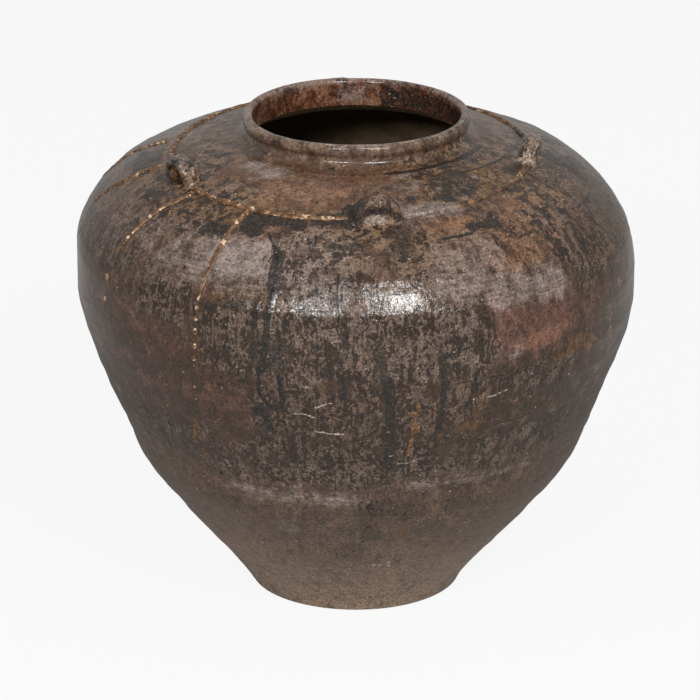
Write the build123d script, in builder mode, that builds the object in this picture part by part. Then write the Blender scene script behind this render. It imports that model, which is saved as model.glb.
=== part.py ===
from build123d import *
from math import asin, atan, cos, degrees, radians, sin
import os

# A large glazed stoneware storage jar, thrown in sections that are luted together:
# a base slab, a lower wall, a domed upper wall and a short neck with a rolled rim.
# A raised coil runs round the shoulder from lug to lug, and thin ribs hang from it.
# Millimetres, +Z up, origin on the floor at the middle of the foot, front at -Y.
# An azimuth of 0 degrees is the front, and it grows towards +X.

# Walls
overall_height = 460
belly_diameter = 520
belly_height = 312
foot_diameter = 195
wall_thickness = 10

# Base slab
base_thickness = 14
base_edge_height = 10
base_edge_flare = 6
base_edge_round = 2.5
wall_foot_width = 15

# Seam between the two wall sections, a tongue in a groove
seam_height = 170
seam_diameter = 438
seam_key_depth = 5

# Neck and rim, and the neck's bevelled seat in the shoulder
mouth_diameter = 193
neck_height = 23.5
neck_root_width = 18.5
neck_seat_bevel = 8
neck_inner_drop = 2.5
neck_wall_thickness = 6
rim_width = 9
rim_height = 14
rim_side_drop = 7
rim_outer_round = 4.5
rim_inner_round = 2.8

# Raised coil, a hand-laid ring whose middle lies to one side of the axis
cordon_width = 6.5
cordon_rise = 2.6
cordon_shift = 16.8
cordon_shift_azimuth = -13
cordon_share = 0.752
cordon_end_share = 0.2

# Slip, the thin film of liquid clay between a luted piece and what carries it, and
# where the round forms with that film on them start
slip_film = 0.1
slip_stations = 16
slip_start_azimuth = 225

# Lugs
lug_hole_width = 29
lug_hole_height = 13.5
lug_leg_width = 6.5
lug_strap_thickness = 8
lug_strap_depth = 14
lug_foot_spread = 9
lug_foot_height = 8
lug_edge_round = 2.4
lug_groove_width = 4
lug_groove_depth = 1.2
lug_sink = 9
lug_lean_angle = 14
lug_spring_share = 0.4

# Ribs
rib_top_width = 6
rib_end_width = 2.4
rib_rise_share = 0.42
rib_coil_angle = 20
rib_station_shares = (0, 0.25, 0.5, 0.75, 1)

# Pearls, dots of slip that go on down the wall below two of the ribs
pearl_diameter = 5
pearl_rise_share = 0.3

# Points of the walls, as shares of the radius and height that each curve spans
lower_wall_shares = [(0.221, 0.22), (0.623, 0.552), (0.93, 0.882)]
upper_wall_shares = [(0.434, 0.321), (0.895, 0.718)]
shoulder_shares = [(0.972, 0.281), (0.8455, 0.5438), (0.6097, 0.7695), (0.379, 0.8795), (0.179, 0.9598)]
inner_wall_shares = (0.8, 0.6, 0.4, 0.2)

# Directions of the wall at the ends of those curves, outwards and up
base_slope = (0.66, 1)
seam_slope = (0.38, 1)
upright = (0, 1)
neck_root_slope = (-1, 0.12)

# Each lug's azimuth in degrees, its place along the shoulder curve, and its height
lug_azimuths = {"lug_front": 6.3, "lug_right": 81.5, "lug_back": 186, "lug_left": 297}
lug_place_shares = {"lug_front": 0.67, "lug_right": 0.767, "lug_back": 0.827, "lug_left": 0.711}
lug_height_shares = {"lug_front": 1, "lug_right": 0.93, "lug_back": 0.85, "lug_left": 1}

# Each rib's azimuths in degrees at the coil and at its lower end, and where it ends
rib_azimuths = {
    "rib_1": (-30.8, -33),
    "rib_2": (-52, -60.3),
    "rib_3": (-79, -85.5),
    "rib_4": (-101.5, -101.5),
}
rib_end_shares = {"rib_1": 0.185, "rib_2": 0.25, "rib_3": 0.33, "rib_4": 0.34}

# Each pearl's azimuth in degrees, and its place along the shoulder or the belly's curve
shoulder_pearl_azimuths = (-33, -33.2, -33.7, -60.7, -61.2)
shoulder_pearl_shares = (0.155, 0.11, 0.05, 0.14, 0.04)
belly_pearl_azimuths = (-33.7, -34, -34.2, -35, -35.4, -35.7)
belly_pearl_shares = (0.98, 0.9, 0.85, 0.69, 0.593, 0.517)

belly_radius = belly_diameter / 2
foot_radius = foot_diameter / 2
seam_radius = seam_diameter / 2
mouth_radius = mouth_diameter / 2
rim_radius = mouth_radius + rim_width
neck_root_radius = mouth_radius + neck_root_width
neck_root_height = overall_height - neck_height

base_edge = (foot_radius + base_edge_flare, base_edge_height)
base_seat = (foot_radius + base_edge_flare - wall_foot_width, base_thickness)
seam_edge = (seam_radius, seam_height)
belly = (belly_radius, belly_height)
neck_root = (neck_root_radius, neck_root_height)
neck_seat = (neck_root_radius - neck_seat_bevel, neck_root_height - wall_thickness)


def between(start, end, shares):
    """Points at shares of the way from one radius and height to another."""
    return [
        (start[0] + (end[0] - start[0]) * across, start[1] + (end[1] - start[1]) * up)
        for across, up in shares
    ]


def inset(curve, share, depth):
    """The point at a share of a wall curve, moved into the wall by a depth."""
    direction = curve % share
    return curve @ share + Vector(-direction.Y, direction.X) * depth


def meridian(azimuth):
    """The upright plane through the axis at an azimuth, with its x pointing outwards."""
    angle = radians(azimuth)
    return Plane((0, 0, 0), x_dir=(sin(angle), -cos(angle), 0), z_dir=(-cos(angle), -sin(angle), 0))


# The outer curves of the walls, drawn as radius and height
with BuildLine() as lower_line:
    lower_points = between((foot_radius, 0), seam_edge, lower_wall_shares)
    Spline(base_edge, *lower_points, seam_edge, tangents=(base_slope, seam_slope))
lower_curve = lower_line.edge()

with BuildLine() as upper_line:
    upper_points = between(seam_edge, belly, upper_wall_shares)
    Spline(seam_edge, *upper_points, belly, tangents=(seam_slope, upright))
upper_curve = upper_line.edge()

with BuildLine() as shoulder_line:
    root_level = (neck_root_radius, belly_height)
    shoulder_points = between(root_level, (belly_radius, neck_root_height), shoulder_shares)
    Spline(belly, *shoulder_points, neck_root, tangents=(upright, neck_root_slope))
shoulder_curve = shoulder_line.edge()

# The seam's tongue and groove, from the outside to the inside of the wall
seam_inner = inset(upper_curve, 0, wall_thickness)
seam_middle = (Vector(*seam_edge) + seam_inner) / 2
seam_key = seam_middle - (upper_curve % 0) * seam_key_depth

# The base slab: a beaten disc of clay with a bevelled rim that carries the wall
with BuildPart() as base_slab:
    with BuildSketch(Plane.XZ):
        Polygon((0, 0), (foot_radius, 0), base_edge, base_seat, (0, base_thickness), align=None)
    revolve(axis=Axis.Z)
    fillet(base_slab.edges().group_by(Axis.Z)[0], radius=base_edge_round)

# The lower wall, from the slab to the groove at the seam
with BuildPart() as lower_body:
    with BuildSketch(Plane.XZ):
        with BuildLine():
            add(lower_curve)
            Polyline(seam_edge, seam_key, seam_inner)
            inner_points = [inset(lower_curve, share, wall_thickness) for share in inner_wall_shares]
            Spline(seam_inner, *inner_points, base_seat)
            Line(base_seat, base_edge)
        make_face()
    revolve(axis=Axis.Z)

# The upper wall, from the tongue at the seam over the belly to the neck's seat
with BuildPart() as upper_body:
    with BuildSketch(Plane.XZ):
        with BuildLine():
            add(upper_curve)
            add(shoulder_curve)
            Line(neck_root, neck_seat)
            inner_shoulder = [inset(shoulder_curve, share, wall_thickness) for share in inner_wall_shares]
            inner_belly = inset(shoulder_curve, 0, wall_thickness)
            inner_flank = [inset(upper_curve, share, wall_thickness) for share in inner_wall_shares]
            Spline(neck_seat, *inner_shoulder, inner_belly, *inner_flank, seam_inner)
            Polyline(seam_inner, seam_key, seam_edge)
        make_face()
    revolve(axis=Axis.Z)

# The neck: a thrown collar in the bevelled seat, flaring below and rolled at the rim
with BuildPart() as neck:
    with BuildSketch(Plane.XZ):
        with BuildLine():
            waist = (mouth_radius + neck_wall_thickness, overall_height - rim_height)
            rim_side = (rim_radius, overall_height - rim_side_drop)
            Spline(neck_root, waist, tangents=(neck_root_slope, upright))
            Spline(waist, rim_side, tangents=(upright, upright))
            rim_corner = (rim_radius, overall_height)
            mouth_corner = (mouth_radius, overall_height)
            mouth_foot = (mouth_radius, neck_root_height - neck_inner_drop)
            Polyline(rim_side, rim_corner, mouth_corner, mouth_foot, neck_seat, neck_root)
        make_face()
    revolve(axis=Axis.Z)
    rim_edges = neck.edges().group_by(Axis.Z)[-1].sort_by(SortBy.RADIUS)
    fillet(rim_edges[-1], radius=rim_outer_round)
    fillet(neck.edges().group_by(Axis.Z)[-1].sort_by(SortBy.RADIUS)[0], radius=rim_inner_round)


def slip_form(curve, start_slope, end_slope):
    """The jar within a wall curve and the slip on it, which trims whatever is luted there."""
    with BuildPart() as body:
        with BuildSketch(meridian(slip_start_azimuth)):
            with BuildLine():
                slip_shares = [station / slip_stations for station in range(slip_stations + 1)]
                slip_points = [inset(curve, share, -slip_film) for share in slip_shares]
                slip_curve = Spline(*slip_points, tangents=(start_slope, end_slope))
                low_end, high_end = slip_curve @ 0, slip_curve @ 1
                Polyline(high_end, (0, high_end.Y), (0, low_end.Y), low_end)
            make_face()
        revolve(axis=Axis.Z)
    return body


shoulder_form = slip_form(shoulder_curve, upright, neck_root_slope)
belly_form = slip_form(upper_curve, seam_slope, upright)

os.makedirs("parts", exist_ok=True)
pieces = {"base_slab": base_slab, "lower_body": lower_body, "upper_body": upper_body, "neck": neck}


def lug(azimuth, place_share, height_share, film=0):
    """A strap lug: an arch of clay that stands across the shoulder on two smeared feet."""
    angle = radians(azimuth)
    lean = radians(lug_lean_angle)
    spot = shoulder_curve @ place_share
    origin = meridian(azimuth).from_local_coords((spot.X, spot.Y, 0))
    outwards = (sin(angle) * cos(lean), -cos(angle) * cos(lean), -sin(lean))
    frame = Plane(origin, x_dir=(cos(angle), sin(angle), 0), z_dir=outwards)
    half_hole = lug_hole_width / 2 - film
    half_arch = lug_hole_width / 2 + lug_leg_width + film
    half_foot = half_arch + lug_foot_spread
    hole_height = lug_hole_height * height_share
    arch_height = hole_height + lug_strap_thickness + film
    spring = hole_height * lug_spring_share
    with BuildPart() as body:
        with BuildSketch(frame):
            with BuildLine():
                arch_rise = arch_height - lug_foot_height
                EllipticalCenterArc((0, lug_foot_height), half_arch, arch_rise, 0, arc_size=180)
                flare = (lug_foot_spread, lug_foot_height)
                EllipticalCenterArc((half_foot, lug_foot_height), *flare, 180, arc_size=90)
                EllipticalCenterArc((-half_foot, lug_foot_height), *flare, 270, arc_size=90)
                Polyline((half_foot, 0), (half_foot, -lug_sink), (-half_foot, -lug_sink), (-half_foot, 0))
            make_face()
            with BuildLine():
                EllipticalCenterArc((0, spring), half_hole, hole_height - spring, 0, arc_size=180)
                hole_feet = (half_hole, -lug_sink), (-half_hole, -lug_sink)
                Polyline((half_hole, spring), *hole_feet, (-half_hole, spring))
            make_face(mode=Mode.SUBTRACT)
        extrude(amount=lug_strap_depth / 2 + film, both=True)
        side_faces = body.faces().filter_by(Axis(origin, outwards))
        fillet(side_faces.edges(), radius=lug_edge_round)
        with BuildSketch(frame):
            with Locations((0, lug_foot_height)):
                Ellipse(half_arch + lug_groove_depth, arch_rise + lug_groove_depth)
                Ellipse(half_arch - lug_groove_depth, arch_rise - lug_groove_depth, mode=Mode.SUBTRACT)
                Rectangle(
                    half_foot * 2, arch_height * 2, align=(Align.CENTER, Align.MIN), mode=Mode.INTERSECT
                )
        extrude(amount=lug_groove_width / 2, both=True, mode=Mode.SUBTRACT)
        add(shoulder_form.part, mode=Mode.SUBTRACT)
    return body


lugs, lug_forms = {}, {}
for name, azimuth in lug_azimuths.items():
    lugs[name] = lug(azimuth, lug_place_shares[name], lug_height_shares[name])
    lug_forms[name] = lug(azimuth, lug_place_shares[name], lug_height_shares[name], slip_film)
lug_side = lug_hole_width / 2 + lug_leg_width + lug_foot_spread * cordon_end_share

# The coil lies on the wall in a ring that is shifted sideways and tipped with the wall
coil_spot = inset(shoulder_curve, cordon_share, cordon_width / 2 - cordon_rise)
wall_direction = shoulder_curve % cordon_share
ring_tilt = atan(wall_direction.Y / -wall_direction.X * cordon_shift / coil_spot.X)
shift_angle = radians(cordon_shift_azimuth)
shift_direction = Vector(sin(shift_angle), -cos(shift_angle), 0)
ring_frame = Plane(
    shift_direction * cordon_shift + Vector(0, 0, coil_spot.Y),
    x_dir=(cos(shift_angle), sin(shift_angle), 0),
    z_dir=shift_direction * sin(ring_tilt) + Vector(0, 0, cos(ring_tilt)),
)


def ring_angle(azimuth):
    """The angle along the ring, in degrees, of the point at an azimuth about the axis."""
    from_shift = radians(azimuth - cordon_shift_azimuth)
    return degrees(from_shift + asin(cordon_shift * sin(from_shift) / coil_spot.X)) - 90


def coil(start, end, width):
    """A round coil of clay along the ring, from one azimuth to another."""
    with BuildPart() as body:
        with BuildLine(ring_frame) as path:
            CenterArc((0, 0), coil_spot.X, ring_angle(start), ring_angle(end) - ring_angle(start))
        with BuildSketch(Plane(path.line ^ 0)):
            Circle(width / 2)
        sweep(path=path.line)
    return body


def cordon(start_lug, end_lug):
    """A length of raised coil from the side of one lug to the side of the next."""
    spans = {
        name: degrees(atan(lug_side / (shoulder_curve @ lug_place_shares[name]).X))
        for name in (start_lug, end_lug)
    }
    start = lug_azimuths[start_lug] + spans[start_lug]
    end = start + (lug_azimuths[end_lug] - spans[end_lug] - start) % 360
    with BuildPart() as body:
        add(coil(start, end, cordon_width).part)
        add(shoulder_form.part, mode=Mode.SUBTRACT)
        add(lug_forms[start_lug].part, mode=Mode.SUBTRACT)
        add(lug_forms[end_lug].part, mode=Mode.SUBTRACT)
    return body


cordons = {
    "cordon_front_right": cordon("lug_front", "lug_right"),
    "cordon_back_right": cordon("lug_right", "lug_back"),
    "cordon_back_left": cordon("lug_back", "lug_left"),
    "cordon_front_left": cordon("lug_left", "lug_front"),
}


def rib(top_azimuth, end_azimuth, end_share):
    """A tapering rib of clay, laid down the wall from the side of the coil."""
    ring_lead = cordon_shift * cos(radians(top_azimuth - cordon_shift_azimuth)) / -wall_direction.X
    top_share = cordon_share - (ring_lead + cordon_width / 4) / shoulder_curve.length
    with BuildPart() as body:
        for share in rib_station_shares:
            azimuth = top_azimuth + (end_azimuth - top_azimuth) * share
            wall_share = top_share + (end_share - top_share) * share
            width = rib_top_width + (rib_end_width - rib_top_width) * share
            spot = inset(shoulder_curve, wall_share, width * (1 / 2 - rib_rise_share))
            plane = meridian(azimuth)
            direction = plane.from_local_coords(Vector(*(shoulder_curve % wall_share)))
            with BuildSketch(Plane(plane.from_local_coords(spot), x_dir=plane.z_dir, z_dir=direction)):
                Circle(width / 2)
        loft()
        add(shoulder_form.part, mode=Mode.SUBTRACT)
        coil_ends = (top_azimuth - rib_coil_angle / 2, top_azimuth + rib_coil_angle / 2)
        add(coil(*coil_ends, cordon_width + 2 * slip_film).part, mode=Mode.SUBTRACT)
    return body


ribs = {name: rib(*azimuths, rib_end_shares[name]) for name, azimuths in rib_azimuths.items()}


def pearls(curve, form, azimuths, shares):
    """Dots of slip on a wall curve, each a cap of a ball."""
    with BuildPart() as body:
        for azimuth, share in zip(azimuths, shares):
            centre = inset(curve, share, pearl_diameter * (1 / 2 - pearl_rise_share))
            with Locations(meridian(azimuth).from_local_coords(centre)):
                Sphere(pearl_diameter / 2)
        add(form.part, mode=Mode.SUBTRACT)
    return body


shoulder_pearls = pearls(shoulder_curve, shoulder_form, shoulder_pearl_azimuths, shoulder_pearl_shares)
belly_pearls = pearls(upper_curve, belly_form, belly_pearl_azimuths, belly_pearl_shares)
pieces.update(**lugs, **cordons, **ribs)
pieces["shoulder_pearls"] = shoulder_pearls
pieces["belly_pearls"] = belly_pearls

for name, piece in pieces.items():
    piece.part.label = name
    export_step(piece.part, f"parts/{name}.step")
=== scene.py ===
import math

import bpy
import numpy as np
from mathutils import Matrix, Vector


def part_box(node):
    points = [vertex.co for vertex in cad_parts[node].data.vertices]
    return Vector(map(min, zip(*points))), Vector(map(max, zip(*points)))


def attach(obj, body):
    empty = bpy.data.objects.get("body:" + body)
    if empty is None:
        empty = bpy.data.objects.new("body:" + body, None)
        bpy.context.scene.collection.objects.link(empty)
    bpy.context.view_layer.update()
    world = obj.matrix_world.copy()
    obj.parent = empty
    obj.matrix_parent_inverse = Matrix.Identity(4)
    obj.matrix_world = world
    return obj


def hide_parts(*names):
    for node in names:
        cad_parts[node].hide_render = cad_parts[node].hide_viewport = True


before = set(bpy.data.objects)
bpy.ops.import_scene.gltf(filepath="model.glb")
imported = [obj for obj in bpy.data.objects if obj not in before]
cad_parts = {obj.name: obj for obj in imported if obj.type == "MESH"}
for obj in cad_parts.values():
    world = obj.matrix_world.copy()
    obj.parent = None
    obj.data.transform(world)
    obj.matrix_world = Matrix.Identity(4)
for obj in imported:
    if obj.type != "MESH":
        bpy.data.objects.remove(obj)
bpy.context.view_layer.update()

# A glazed stoneware storage jar. Shapes are worked out in millimetres in numpy and
# turned into metres where a mesh is made. An azimuth of 0 degrees is the front, -Y,
# and it grows towards +X. "Down" is the distance along the wall below the neck root.
scene = bpy.context.scene
millimetre = 0.001

# Main sizes, from the frame
belly_radius, neck_root_radius, base_edge_radius = (
    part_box(node)[1].x / millimetre for node in ("upper_body", "neck", "base_slab")
)
neck_root_height, overall_height = (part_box(node)[1].z / millimetre for node in ("upper_body", "neck"))

# Profile, as on the frame
belly_height = 312
foot_radius = 97.5
wall_thickness = 10
base_edge_height = 10
base_thickness = 14
seam_radius, seam_height = 219, 170
mouth_radius = 96.5
rim_radius = mouth_radius + 9
mouth_lower_height = neck_root_height - 2.5
base_seat_step, neck_seat_step = 5, 8
foot_edge_round = 2.2
foot_hollow_radius, foot_hollow = foot_radius - 30, 0.6
waist = (mouth_radius + 6, overall_height - 14)
rim_side = (rim_radius, overall_height - 7)
rim_outer_round, rim_inner_round = 4.5, 3.5
lower_wall_shares = [(0.221, 0.22), (0.623, 0.552), (0.93, 0.882)]
upper_wall_shares = [(0.434, 0.321), (0.895, 0.718)]
shoulder_shares = [(0.972, 0.281), (0.8455, 0.5438), (0.6097, 0.7695), (0.379, 0.8795), (0.179, 0.9598)]
base_slope, seam_slope, upright, neck_root_slope = (0.66, 1), (0.38, 1), (0, 1), (-1, 0.12)

# Mesh fineness: the front half has twice as many columns as the back
front_columns, back_columns = 600, 300
row_step = 1.5
columns_per_inner = 6
inner_row_step = 9.0

# Raised coil: a ring about the axis whose middle is shifted, in millimetres
coil_radius = 2.9
coil_ring_radius = 165.4
coil_shift = (-3.7, -16.4)
coil_rise = 2.3

# Lugs: azimuth, radius from the axis, height scale, pale haze with a painted highlight on the crown, and dark
# glaze on the strap
lug_places = {
    "lug_front": (6.3, 181.5, 1.0, 0.3, 0.42),
    "lug_right": (81.5, 162.5, 0.93, 0.85, 0.1),
    "lug_back": (186.0, 150.5, 0.7, 0.4, 0.3),
    "lug_left": (297.0, 173.5, 1.0, 0.95, 0.0),
}

# Ribs: azimuth and distance down along each, from the coil to the lower end
rib_paths = {
    "rib_1": [(-31.0, 70), (-31.5, 95), (-31.8, 120), (-32.2, 145), (-33.0, 172)],
    "rib_2": [(-52.5, 66), (-54.0, 85), (-56.5, 106), (-58.0, 130), (-60.3, 158)],
    "rib_3": [(-79.0, 66), (-80.0, 85), (-81.2, 103), (-83.5, 125), (-85.5, 142)],
    "rib_4": [(-101.5, 62), (-101.5, 80), (-101.7, 100), (-101.6, 120), (-101.5, 140)],
}


def unit(vector):
    return np.array(vector, float) / np.linalg.norm(vector)


def row_units(vectors):
    return vectors / np.linalg.norm(vectors, axis=1)[:, None]


def around(azimuth, outward, upward):
    """Vectors with a part outward from the axis, at an azimuth, and a part upward."""
    angle = np.radians(azimuth)
    return np.stack([outward * np.sin(angle), -outward * np.cos(angle), upward + 0 * angle], -1)


def run_length(points):
    """Distance along a path to each of its points."""
    return np.concatenate([[0], np.cumsum(np.linalg.norm(np.diff(points, axis=0), axis=1))])


def between(start, end, shares):
    """Points at shares of the way from one radius and height to another."""
    start, end = np.array(start, float), np.array(end, float)
    return start + (end - start) * np.array(shares)


def curve_points(points, first, last, step=0.5):
    """Points along a smooth curve through given ones, with the directions of its ends."""
    points = np.array(points, float)
    knots = run_length(points)
    chord = np.linalg.norm(np.diff(points, axis=0), axis=1)
    count = len(points)
    matrix, right = np.eye(count), np.zeros((count, 2))
    right[0], right[-1] = unit(first), unit(last)
    for i in range(1, count - 1):
        before, after = chord[i - 1], chord[i]
        matrix[i, i - 1:i + 2] = after, 2 * (before + after), before
        rise = (points[i] - points[i - 1]) * after / before + (points[i + 1] - points[i]) * before / after
        right[i] = 3 * rise
    slopes = np.linalg.solve(matrix, right)
    place = np.linspace(0, knots[-1], max(2, int(knots[-1] / step) + 1))
    span = np.clip(np.searchsorted(knots, place, side="right") - 1, 0, count - 2)
    width = chord[span][:, None]
    t = (place - knots[span])[:, None] / width
    return (
        (2 * t**3 - 3 * t**2 + 1) * points[span]
        + (t**3 - 2 * t**2 + t) * width * slopes[span]
        + (3 * t**2 - 2 * t**3) * points[span + 1]
        + (t**3 - t**2) * width * slopes[span + 1]
    )


base_edge = (base_edge_radius, base_edge_height)
seam_edge = (seam_radius, seam_height)
belly = (belly_radius, belly_height)
neck_root = (neck_root_radius, neck_root_height)
lower_points = between((foot_radius, 0), seam_edge, lower_wall_shares)
lower_curve = curve_points([base_edge, *lower_points, seam_edge], base_slope, seam_slope)
upper_points = between(seam_edge, belly, upper_wall_shares)
upper_curve = curve_points([seam_edge, *upper_points, belly], seam_slope, upright)
shoulder_points = between((neck_root_radius, belly_height), (belly_radius, neck_root_height), shoulder_shares)
shoulder_curve = curve_points([belly, *shoulder_points, neck_root], upright, neck_root_slope)

# The whole outer wall from the foot up, with its distance down from the neck root
wall = np.concatenate([[(foot_radius, 0), base_edge], lower_curve[1:], upper_curve[1:], shoulder_curve[1:]])
wall_down = run_length(wall)
wall_down = wall_down[-1] - wall_down
foot_down = wall_down[0]


def down_at_height(height):
    return np.interp(height, wall[:, 1], wall_down)


def down_at_radius(radius):
    """Distance down the shoulder at a radius."""
    along = run_length(shoulder_curve)
    return np.interp(-radius, -shoulder_curve[:, 0], along[-1] - along)


def wall_point(down):
    """Radius and height of the plain wall at a distance down from the neck root."""
    return tuple(np.interp(down, wall_down[::-1], wall[::-1, axis]) for axis in (0, 1))


def wall_normal(down, reach=1.5):
    """Outward and upward parts of the plain wall's normal."""
    down = np.asarray(down, float)
    low = wall_point(np.minimum(down + reach, foot_down))
    high = wall_point(np.maximum(down - reach, 0))
    outward, upward = high[1] - low[1], low[0] - high[0]
    length = np.hypot(outward, upward)
    return outward / length, upward / length


# Smooth repeatable noise on a lattice
lattice_size = 64
lattice = np.random.default_rng(7).random((lattice_size,) * 3)


def noise(points, size, shift=0):
    """Smooth noise from -1 to 1 at points, with lumps of a size in millimetres."""
    place = np.asarray(points, float) / size + np.array([17.3, 5.1, 9.7]) * (shift + 1)
    cell = np.floor(place).astype(int)
    part = place - cell
    part = part * part * (3 - 2 * part)
    total = 0
    for corner in np.ndindex(2, 2, 2):
        index = (cell + corner) % lattice_size
        weight = np.prod(np.where(corner, part, 1 - part), axis=-1)
        total = total + weight * lattice[index[..., 0], index[..., 1], index[..., 2]]
    return total * 2 - 1


def smooth_step(value, low, high):
    t = np.clip((value - low) / (high - low), 0, 1)
    return t * t * (3 - 2 * t)


def bell(value, width):
    return np.exp(-((value / width) ** 2))


# How the real wall leaves the turned profile: sideways drift, in millimetres, by height
drift_heights = (0, 20, 50, 90, 115, 140, 180, 205, 245, 262, 284, 301, 323, 351, 373, 400, 418, 436)
drift_values = (-1, -0.8, 0.3, 0.5, 1.4, 1.8, 1.8, 0.6, 1.0, 1.2, 0.6, -0.4, -1.2, -2.6, -3.4, -3.2, -2.4, 0)
swell_heights = (0, 80, 93, 104, 125, 148, 169, 190, 460)
swell_values = (0, 0, -1.0, -1.2, 0.6, 0.5, -1.2, 0, 0)
seam_down = down_at_height(seam_height)
ring_down = (30, 52, 96, 140, 172, 205, 238, 262, 290, 318, 390, 425, 460, 500)
ring_depth = (0.3, 0.3, 0.35, 0.3, 0.4, 0.35, 0.4, 0.4, 0.45, 0.4, 0.45, 0.4, 0.4, 0.35)
outer_limit = belly_radius - 0.2


def body_relief(down, place):
    """How far the hand-made wall stands proud of the turned one, along its normal."""
    relief = 0.9 * noise(place, 90) + 0.45 * noise(place, 38, 1) + 0.18 * noise(place, 14, 2)
    relief = relief + np.interp(wall_point(down)[1], swell_heights, swell_values)
    wander = 3 * noise(place, 120, 3)
    for where, depth in zip(ring_down, ring_depth):
        relief = relief + depth * bell(down - where - wander, 4.5)
    relief = relief + 0.9 * bell(down - seam_down + 1, 2.6) - 0.7 * bell(down - seam_down - 7, 4)
    return relief * (smooth_step(down, 0, 12) * smooth_step(foot_down - down, 0, 10))


def body_place(azimuth, down, lift=0):
    """Points of the real wall, in millimetres, and its normals."""
    radius, height = wall_point(down)
    plain, normal = around(azimuth, radius, height), around(azimuth, *wall_normal(down))
    relief = body_relief(down, plain) + lift
    moved = plain + normal * np.asarray(relief)[..., None]
    moved[..., 0] += np.interp(height, drift_heights, drift_values)
    inside = outer_limit / np.maximum(np.hypot(moved[..., 0], moved[..., 1]), outer_limit)
    moved[..., :2] *= inside[..., None]
    return moved, normal


def add_object(name, data):
    piece = bpy.data.objects.new(name, data)
    scene.collection.objects.link(piece)
    return piece


def make_mesh(name, points, faces, sharp=(), attributes=None, first_faces=None):
    """A smooth mesh object from points in millimetres. Faces after the first take material 1."""
    mesh = bpy.data.meshes.new(name)
    mesh.from_pydata((points * millimetre).tolist(), [], faces)
    mesh.shade_smooth()
    if first_faces is not None:
        mesh.polygons.foreach_set("material_index", (np.arange(len(faces)) >= first_faces).astype(np.int32))
    if len(sharp):
        keys = {tuple(sorted(edge)) for edge in sharp}
        flags = [tuple(sorted(edge.vertices)) in keys for edge in mesh.edges]
        mesh.attributes.new("sharp_edge", "BOOLEAN", "EDGE").data.foreach_set("value", flags)
    for label, values in (attributes or {}).items():
        layer = mesh.attributes.new(label, "FLOAT_VECTOR", "POINT")
        layer.data.foreach_set("vector", np.asarray(values, np.float32).ravel())
    mesh.update()
    return add_object(name, mesh)


# Paint: how strongly each point of the surface shows each kind of glaze, clay or wear, and in a few places a
# painted highlight.
# Each channel has the softness of its patches' edges, in millimetres.
softness = {
    "dark": 5, "netting": 9, "orange": 11, "ochre": 9, "pink": 14, "haze_and_highlight": 11,
    "tan": 1.2, "pale": 1.0, "calm": 9,
}

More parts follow.
